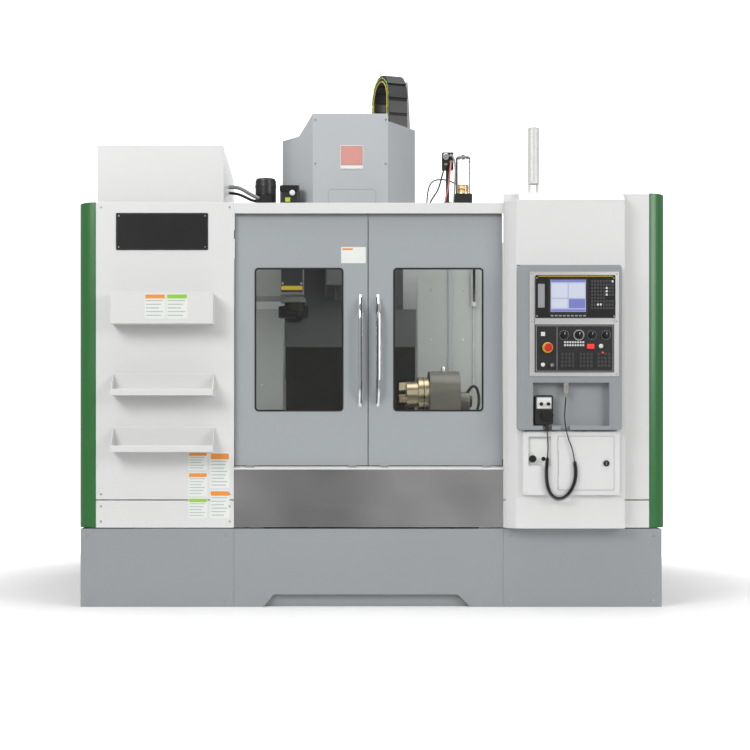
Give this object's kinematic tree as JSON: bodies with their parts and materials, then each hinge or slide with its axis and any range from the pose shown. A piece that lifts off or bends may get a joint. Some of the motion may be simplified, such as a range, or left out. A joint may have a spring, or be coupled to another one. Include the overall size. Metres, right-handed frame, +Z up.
{
  "type": "cnc machining center",
  "caption": "Vertical machining center with twin sliding doors, operator's console with screen and hung pendant, tool trays, arm tool changer and telescopic way cover.",
  "frame": {"origin": "on the floor, at the centre of the machine's footprint box", "axes": "+X to the operator's right, +Y from the operator into the machine, +Z up"},
  "size_m": [2.98, 2.458, 2.97],
  "materials": {
    "casting_paint": "satin",
    "white_paint": "satin",
    "grey_paint": "satin",
    "skirt_paint": "satin",
    "green_paint": "satin",
    "stainless": "polished",
    "steel": "machined",
    "glass": "clear",
    "black_plastic": "matte",
    "black_metal": "satin",
    "light_plastic": "matte",
    "red_plastic": "gloss",
    "cord_rubber": "matte",
    "chrome": "polished",
    "beige_paint": "satin",
    "clear_cup": "clear"
  },
  "bodies": {
    "machine_frame": {"bed": "casting_paint", "column": "casting_paint", "tool_changer_gearbox": "grey_paint", "tool_changer_motors": "black_metal", "base_covers": "skirt_paint", "corner_posts": "green_paint", "front_panels": "white_paint", "console": "white_paint", "side_panels": "white_paint", "door_frame": "white_paint", "stainless_apron": "stainless", "tool_shelves": "white_paint", "magazine_hood": "white_paint", "inner_walls": "white_paint", "coolant_tank": "skirt_paint", "head_cover": "grey_paint", "drag_chain": "black_plastic", "oil_reservoir": "clear_cup", "lubricator": "black_metal", "signal_tower": "light_plastic", "work_light": "light_plastic", "console_fascia": "grey_paint", "screen_unit": "black_plastic", "operator_panel": "black_plastic", "handwheel_pendant": "black_plastic", "pendant_plug": "black_plastic", "pendant_lead_in": "cord_rubber", "pendant_curly_cord": "cord_rubber", "pendant_lead_out": "cord_rubber", "service_box": "white_paint"},
    "left_door": {"left_door": "grey_paint", "left_window": "glass", "left_door_handle": "chrome"},
    "right_door": {"right_door": "grey_paint", "right_window": "glass", "right_door_handle": "chrome"},
    "saddle": {"saddle": "casting_paint"},
    "table": {"table": "steel", "rotary_table": "beige_paint"},
    "chuck": {"rotary_chuck": "steel"},
    "head": {"spindle_head": "casting_paint"},
    "spindle": {"spindle": "steel"},
    "carousel": {"tool_carousel": "steel"},
    "arm_shaft": {"arm_shaft": "steel"},
    "change_arm": {"change_arm": "black_metal"},
    "way_cover_upper": {"way_cover_upper": "black_metal"},
    "way_cover_lower": {"way_cover_lower": "black_metal"},
    "emergency_stop": {"emergency_stop": "red_plastic"},
    "mode_knob": {"mode_knob": "black_plastic"},
    "feed_knob": {"feed_knob": "black_plastic"},
    "rapid_knob": {"rapid_knob": "black_plastic"},
    "spindle_knob": {"spindle_knob": "black_plastic"},
    "key_switch": {"key_switch": "chrome"},
    "hold_button": {"hold_button": "light_plastic"},
    "start_button": {"start_button": "light_plastic"},
    "pendant_dial": {"pendant_dial": "black_plastic"},
    "pendant_axis_knob": {"pendant_axis_knob": "black_plastic"},
    "pendant_rate_knob": {"pendant_rate_knob": "black_plastic"},
    "service_box_door": {"service_box_door": "white_paint"},
    "service_box_latch": {"service_box_latch": "black_plastic"}
  },
  "joints": [
    {"name": "left_door_slide", "type": "slide", "parent": "machine_frame", "child": "left_door", "axis": [-1, 0, 0], "range_m": [0, 0.61]},
    {"name": "right_door_slide", "type": "slide", "parent": "machine_frame", "child": "right_door", "axis": [1, 0, 0], "range_m": [0, 0.61]},
    {"name": "saddle_slide", "type": "slide", "parent": "machine_frame", "child": "saddle", "axis": [0, 1, 0], "range_m": [-0.3, 0.3]},
    {"name": "table_slide", "type": "slide", "parent": "saddle", "child": "table", "axis": [1, 0, 0], "range_m": [-0.55, 0.55]},
    {"name": "chuck_turn", "type": "hinge", "parent": "table", "child": "chuck", "pos_m": [0.3, -0.28, 1.1], "axis": [1, 0, 0], "continuous": true},
    {"name": "head_slide", "type": "slide", "parent": "machine_frame", "child": "head", "axis": [0, 0, 1], "range_m": [-0.6, 0]},
    {"name": "spindle_turn", "type": "hinge", "parent": "head", "child": "spindle", "pos_m": [-0.07, -0.28, 1.7], "axis": [0, 0, 1], "continuous": true},
    {"name": "way_cover_upper_slide", "type": "slide", "parent": "machine_frame", "child": "way_cover_upper", "axis": [0, 0, 1], "range_m": [-0.401, 0]},
    {"name": "way_cover_lower_slide", "type": "slide", "parent": "machine_frame", "child": "way_cover_lower", "axis": [0, 0, 1], "range_m": [-0.201, 0]},
    {"name": "magazine_turn", "type": "hinge", "parent": "machine_frame", "child": "carousel", "pos_m": [-0.7, -0.28, 2], "axis": [1, 0, 0], "continuous": true},
    {"name": "arm_plunge", "type": "slide", "parent": "machine_frame", "child": "arm_shaft", "axis": [0, 0, 1], "range_m": [-0.11, 0]},
    {"name": "arm_swing", "type": "hinge", "parent": "arm_shaft", "child": "change_arm", "pos_m": [-0.41, -0.28, 1.56], "axis": [0, 0, 1], "range_deg": [0, 270]},
    {"name": "emergency_stop_push", "type": "slide", "parent": "machine_frame", "child": "emergency_stop", "axis": [0, 1, 0], "range_m": [0, 0.006]},
    {"name": "mode_turn", "type": "hinge", "parent": "machine_frame", "child": "mode_knob", "pos_m": [0.945, -1.203, 1.364], "axis": [0, 1, 0], "range_deg": [-120, 120]},
    {"name": "feed_turn", "type": "hinge", "parent": "machine_frame", "child": "feed_knob", "pos_m": [1.019, -1.203, 1.364], "axis": [0, 1, 0], "range_deg": [-150, 150]},
    {"name": "rapid_turn", "type": "hinge", "parent": "machine_frame", "child": "rapid_knob", "pos_m": [1.083, -1.203, 1.364], "axis": [0, 1, 0], "range_deg": [-60, 60]},
    {"name": "spindle_override_turn", "type": "hinge", "parent": "machine_frame", "child": "spindle_knob", "pos_m": [1.153, -1.203, 1.364], "axis": [0, 1, 0], "range_deg": [-120, 120]},
    {"name": "key_turn", "type": "hinge", "parent": "machine_frame", "child": "key_switch", "pos_m": [0.885, -1.203, 1.215], "axis": [0, 1, 0], "range_deg": [0, 90]},
    {"name": "hold_push", "type": "slide", "parent": "machine_frame", "child": "hold_button", "axis": [0, 1, 0], "range_m": [0, 0.004], "stiffness_N_per_m": 600},
    {"name": "start_push", "type": "slide", "parent": "machine_frame", "child": "start_button", "axis": [0, 1, 0], "range_m": [0, 0.004], "stiffness_N_per_m": 600},
    {"name": "pendant_dial_turn", "type": "hinge", "parent": "machine_frame", "child": "pendant_dial", "pos_m": [0.864, -1.195, 0.967], "axis": [0, 1, 0], "continuous": true},
    {"name": "pendant_axis_turn", "type": "hinge", "parent": "machine_frame", "child": "pendant_axis_knob", "pos_m": [0.833, -1.195, 1.022], "axis": [0, 1, 0], "range_deg": [-75, 75]},
    {"name": "pendant_rate_turn", "type": "hinge", "parent": "machine_frame", "child": "pendant_rate_knob", "pos_m": [0.868, -1.195, 1.022], "axis": [0, 1, 0], "range_deg": [-45, 45]},
    {"name": "service_door_swing", "type": "hinge", "parent": "machine_frame", "child": "service_box_door", "pos_m": [0.922, -1.1786, 0.727], "axis": [0, 0, -1], "range_deg": [0, 110], "deforming": ["pendant_curly_cord", "pendant_lead_in"]},
    {"name": "service_latch_turn", "type": "hinge", "parent": "service_box_door", "child": "service_box_latch", "pos_m": [1.16, -1.178, 0.727], "axis": [0, 1, 0], "range_deg": [0, 90]}
  ],
  "couplings": [
    {"joint": "way_cover_upper_slide", "follows": "head_slide", "ratio": 0.66667},
    {"joint": "way_cover_lower_slide", "follows": "head_slide", "ratio": 0.33333}
  ]
}
